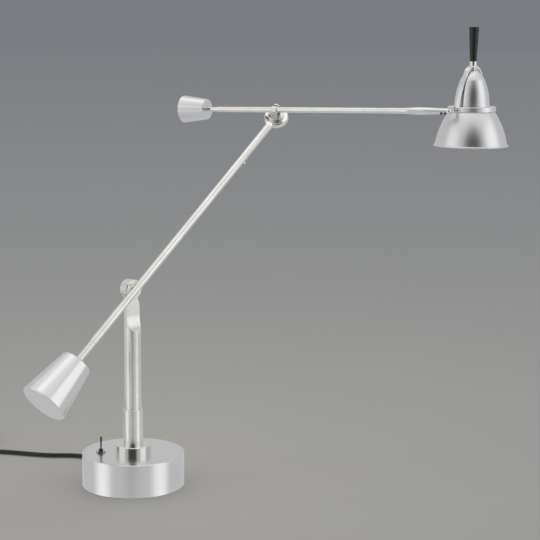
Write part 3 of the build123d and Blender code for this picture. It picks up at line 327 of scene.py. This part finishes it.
def polished_metal(name, colours, roughness, way):
    """Polished plating, with faint buffing marks along a direction."""
    graph = Finish(name, Metallic=1.0)
    along = graph.vector("DOT_PRODUCT", graph.place, way)
    # Across the piece only, so that the marks run its whole length; adding the way shifts them.
    across = graph.vector("CROSS_PRODUCT", graph.place, way)
    close = graph.vector("ADD", graph.vector("SCALE", across, scale=BUFF_CLOSENESS), way)
    marks = graph.noise(BUFF_SCALE, detail=3.0, roughness=0.6, place=close)
    smudge = graph.noise(BUFF_SMUDGE_SCALE, detail=5.0, roughness=0.6)
    buffing = graph.mapped(marks, BUFF_SWING)
    swing = graph.maths("ADD", buffing, graph.mapped(smudge, BUFF_SMUDGE_SWING))
    graph.roughen(graph.maths("MULTIPLY", swing, roughness))
    ripple = graph.noise_along(along, RIPPLE_SCALE, detail=2.0)
    graph.tint(smudge, colours)
    graph.bump(graph.maths("ADD", marks, ripple), BUFF_STRENGTH, MARK_DEPTH)
    return graph.material


def speckled(name, colours, roughness, scale, strength, **values):
    """A moulded or painted surface with fine grain, a little uneven in gloss and colour."""
    graph = Finish(name, **values)
    grain = graph.noise(scale, detail=5.0, roughness=0.6)
    wear = graph.noise(scale / WEAR_WIDTH, detail=4.0)
    graph.roughen(graph.mapped(wear, [roughness * share for share in WEAR_SWING]))
    graph.tint(wear, colours)
    graph.bump(grain, strength, GRAIN_DEPTH)
    return graph.material


def dress(material, *pieces):
    """Gives a material to CAD nodes."""
    for piece in pieces:
        mesh = nodes[piece].data
        mesh.materials.clear()
        mesh.materials.append(material)


# ---- the lamp's materials: the dark and the light colour, roughness, and what each is on ----
NICKEL = ((0.74, 0.73, 0.70), (0.86, 0.85, 0.82))
SATIN = ((0.70, 0.70, 0.71), (0.86, 0.86, 0.87))
STEEL = ((0.30, 0.30, 0.31), (0.46, 0.46, 0.47))
BLACK_STEEL = ((0.006, 0.006, 0.006), (0.014, 0.014, 0.014))
BRASS = ((0.62, 0.46, 0.20), (0.80, 0.62, 0.30))
DARK_METAL = ((0.035, 0.032, 0.030), (0.10, 0.09, 0.08))
PALE_BRASS = ((0.40, 0.36, 0.29), (0.58, 0.53, 0.44))
COPPER = ((0.40, 0.16, 0.08), (0.62, 0.28, 0.14))
GLOSS_BLACK = ((0.004, 0.004, 0.004), (0.012, 0.012, 0.013))
RUBBER = ((0.006, 0.006, 0.006), (0.016, 0.016, 0.017))
PAD_RUBBER = ((0.02, 0.02, 0.02), (0.04, 0.04, 0.04))
NYLON = ((0.70, 0.69, 0.65), (0.82, 0.81, 0.77))
CERAMIC = ((0.72, 0.71, 0.67), (0.84, 0.83, 0.79))
CASE_BLACK = ((0.02, 0.02, 0.02), (0.05, 0.05, 0.05))
GLASS = ((0.90, 0.90, 0.88), (0.97, 0.97, 0.95))
GLASS_INDEX = 1.46

dress(turned_metal("base_satin", SATIN, 0.22, base_middle, UP), "base_shell")
dress(
    polished_metal("post_polish", NICKEL, 0.21, UP),
    "sleeve",
    "post_tube",
    "post_head",
    "arm_disc",
    "knee_washer",
    "knee_bolt",
)
dress(polished_metal("collar_polish", NICKEL, 0.10, UP), "collar")
dress(
    polished_metal("lower_polish", NICKEL, 0.09, lower_way),
    "lower_tube",
    "lower_neck",
    "elbow_socket",
    "elbow_stud",
    "knee_screws",
)
dress(
    polished_metal("upper_polish", NICKEL, 0.11, upper_way),
    "upper_tube",
    "upper_neck",
    "fork",
    "yaw_pin",
    "groove_screw",
)
dress(
    polished_metal("joint_satin", NICKEL, 0.30, UP),
    "saddle",
    "turret",
    "turn_bolt",
    "turn_washer",
    "tilt_pins",
)
dress(turned_metal("big_turned", SATIN, 0.22, lower_middle, lower_way), "big_weight")
dress(turned_metal("small_turned", SATIN, 0.22, upper_middle, upper_way), "small_weight")
dress(
    turned_metal("shade_spun", SATIN, 0.32, shade_middle, UP),
    "bell_shell",
    "ogive_shell",
    "shade_ring",
)
dress(polished_metal("strap_brushed", SATIN, 0.16, UP), "strap", "foot_screws")
dress(polished_metal("trim_polish", NICKEL, 0.05, UP), "nipple", "ferrule")
dress(
    speckled("plain_steel", STEEL, 0.40, scale=900.0, strength=0.2, Metallic=1.0),
    "base_plate",
    "plate_screws",
    "sleeve_nut",
    "ballast_ring",
    "post_plug",
    "foot_bolt",
    "tie_rod",
    "lower_conductor",
    "upper_conductor",
)
dress(speckled("black_steel", BLACK_STEEL, 0.35, scale=900.0, strength=0.2), "fork_screws")
dress(
    speckled("brass", BRASS, 0.25, scale=900.0, strength=0.2, Metallic=1.0),
    "thrust_washer",
    "plug_pins",
)
dress(
    speckled("toggle_metal", DARK_METAL, 0.25, scale=900.0, strength=0.1, Metallic=1.0),
    "switch_lever",
)
dress(
    speckled("switch_brass", PALE_BRASS, 0.25, scale=900.0, strength=0.2, Metallic=1.0),
    "switch_nut",
)
dress(
    speckled("copper_winding", COPPER, 0.40, scale=500.0, strength=0.5, Metallic=1.0),
    "ring_transformer",
)
dress(speckled("handle_black", GLOSS_BLACK, 0.22, scale=700.0, strength=0.05), "handle")
rubber_black = speckled("rubber_black", RUBBER, 0.50, scale=1400.0, strength=0.4)
dress(rubber_black, "gland", "plug", "cord_run", "cord_coil", "cord_tail")
cord.data.materials.append(rubber_black)
dress(speckled("pad_rubber", PAD_RUBBER, 0.80, scale=900.0, strength=0.6), "base_pad")
dress(
    speckled("nylon", NYLON, 0.55, scale=700.0, strength=0.2),
    "lower_bushes",
    "upper_bushes",
)
dress(speckled("ceramic", CERAMIC, 0.45, scale=500.0, strength=0.15), "lamp_holder")
dress(speckled("switch_case", CASE_BLACK, 0.55, scale=800.0, strength=0.3), "switch_body")
CLEAR = {"Transmission_Weight": 1.0, "IOR": GLASS_INDEX}
dress(speckled("lamp_glass", GLASS, 0.03, scale=60.0, strength=0.02, **CLEAR), "bulb")

# ---- floor, backdrop and light ----
FLOOR_RADIUS = 40.0
FLOOR_SIDES = 96
FLOOR_COLOUR = (0.485, 0.473, 0.450)
FLOOR_MOTTLE = 0.98  # share of that colour in the floor's darker places
FLOOR_MOTTLE_SCALE = 3.0
FLOOR_ROUGHNESS = 0.9
FLOOR_SPECULAR = 0.1
FAR_COLOUR = (0.195, 0.206, 0.222)
FADE_REACH = 1.9  # from the lamp to where half of the floor's colour has faded
# The studio's levels are brightnesses, and its edges are cosines or sines of angles.
STUDIO_TINT = (0.98, 0.985, 0.985)
STUDIO_LEVEL = 0.60
CEILING_LEVEL = 0.85
CEILING_HEIGHTS = (0.45, 0.85)  # below the first it hasn't begun, above the second it is full
DARK_LEVEL = 0.07  # share of the light that the unlit side has
DARK_WAY = (0.0, -0.966, 0.259)  # toward the unlit side of the studio
DARK_EDGES = (0.83, 0.95)
BAND_LEVEL = 0.72  # how much brighter the studio is on each side, low down
BAND_WAY = (0.927, 0.375)  # to the side and to the front
BAND_EDGES = (0.85, 0.98)
BAND_HEIGHTS = (-0.27, -0.20)  # below the first all of it, above the second none
LIGHT_AIM = (0.1, 0.0, 0.3)
# Soft boxes: direction from the front, height over the aim, distance, size, brightness.
LIGHTS = {
    "left_box": (-72.0, 1.1, 4.4, (3.4, 4.0), 0.36),
    "right_box": (72.0, 1.1, 4.4, (3.4, 4.0), 0.50),
    "top_box": (180.0, 2.1, 0.3, (1.8, 1.8), 0.3),
}


def make_floor():
    """A round floor that fades into the backdrop, and that no reflection or shadow ray meets."""
    mesh = bpy.data.meshes.new("floor")
    rim = []
    for index in range(FLOOR_SIDES):
        angle = 2 * math.pi * index / FLOOR_SIDES
        rim.append((FLOOR_RADIUS * math.cos(angle), FLOOR_RADIUS * math.sin(angle), 0))
    mesh.from_pydata(rim, [], [tuple(range(FLOOR_SIDES))])
    floor = bpy.data.objects.new("floor", mesh)
    bpy.context.scene.collection.objects.link(floor)
    graph = Finish("floor", Roughness=FLOOR_ROUGHNESS, Specular_IOR_Level=FLOOR_SPECULAR)
    mottle = graph.noise(FLOOR_MOTTLE_SCALE, detail=3.0)
    graph.tint(mottle, (tuple(FLOOR_MOTTLE * part for part in FLOOR_COLOUR), FLOOR_COLOUR))
    distance = graph.vector("LENGTH", graph.place)
    far = graph.maths("DIVIDE", distance, graph.maths("ADD", distance, FADE_REACH))
    glow = graph.add("Emission", Color=opaque(FAR_COLOUR))
    seen = graph.mixed(far, graph.shader.outputs["BSDF"], glow.outputs["Emission"])
    path = graph.add("LightPath")
    unseen = graph.maths("MAXIMUM", path.outputs["Is Glossy Ray"], path.outputs["Is Shadow Ray"])
    clear = graph.add("BsdfTransparent")
    surface = graph.mixed(unseen, seen, clear.outputs["BSDF"])
    graph.fill(graph.output, Surface=surface)
    mesh.materials.append(graph.material)


def make_world():
    """A studio with a pale ceiling, an unlit side and brighter low sides; a plain backdrop."""
    world = bpy.data.worlds.new("studio")
    world.use_nodes = True
    graph = Graph(world.node_tree)
    way = graph.add("TexCoord").outputs["Generated"]
    sideways, backward, upward = graph.add("SeparateXYZ", Vector=way).outputs
    toward_dark = graph.vector("DOT_PRODUCT", way, DARK_WAY)
    heights = (STUDIO_LEVEL, CEILING_LEVEL)
    ceiling = graph.mapped(upward, heights, CEILING_HEIGHTS, "SMOOTHSTEP")
    lit = graph.mapped(toward_dark, (1.0, DARK_LEVEL), DARK_EDGES, "SMOOTHSTEP")
    side = graph.maths("MULTIPLY", graph.maths("ABSOLUTE", sideways), BAND_WAY[0])
    front = graph.maths("MULTIPLY", backward, -BAND_WAY[1])
    toward_band = graph.maths("ADD", side, front)
    in_band = graph.mapped(toward_band, (0.0, 1.0), BAND_EDGES, "SMOOTHSTEP")
    low_down = graph.mapped(upward, (BAND_LEVEL, 0.0), BAND_HEIGHTS, "SMOOTHSTEP")
    band = graph.maths("MULTIPLY", in_band, low_down)
    level = graph.maths("ADD", graph.maths("MULTIPLY", ceiling, lit), band)
    studio = graph.nodes["Background"]
    graph.fill(studio, Color=opaque(STUDIO_TINT), Strength=level)
    backdrop = graph.add("Background", Color=opaque(FAR_COLOUR))
    in_view = graph.add("LightPath").outputs["Is Camera Ray"]
    surface = graph.mixed(in_view, studio.outputs["Background"], backdrop.outputs["Background"])
    graph.fill(graph.nodes["World Output"], Surface=surface)
    bpy.context.scene.world = world


def make_light(name, azimuth, height, distance, size, level):
    """A soft box that faces the lamp; its brightness is given, not its power."""
    data = bpy.data.lights.new(name, "AREA")
    data.shape = "RECTANGLE"
    data.size, data.size_y = size
    data.energy = level * math.pi * size[0] * size[1]
    angle = math.radians(azimuth)
    target = Vector(LIGHT_AIM)
    place = target + Vector((math.sin(angle) * distance, -math.cos(angle) * distance, height))
    light = bpy.data.objects.new(name, data)
    turn = (target - place).to_track_quat("-Z", "Y").to_matrix().to_4x4()
    light.matrix_world = Matrix.Translation(place) @ turn
    light.visible_camera = False
    bpy.context.scene.collection.objects.link(light)


make_floor()
make_world()
for name, values in LIGHTS.items():
    make_light(name, *values)

bpy.context.scene.view_settings.view_transform = "Standard"

bpy.context.view_layer.update()
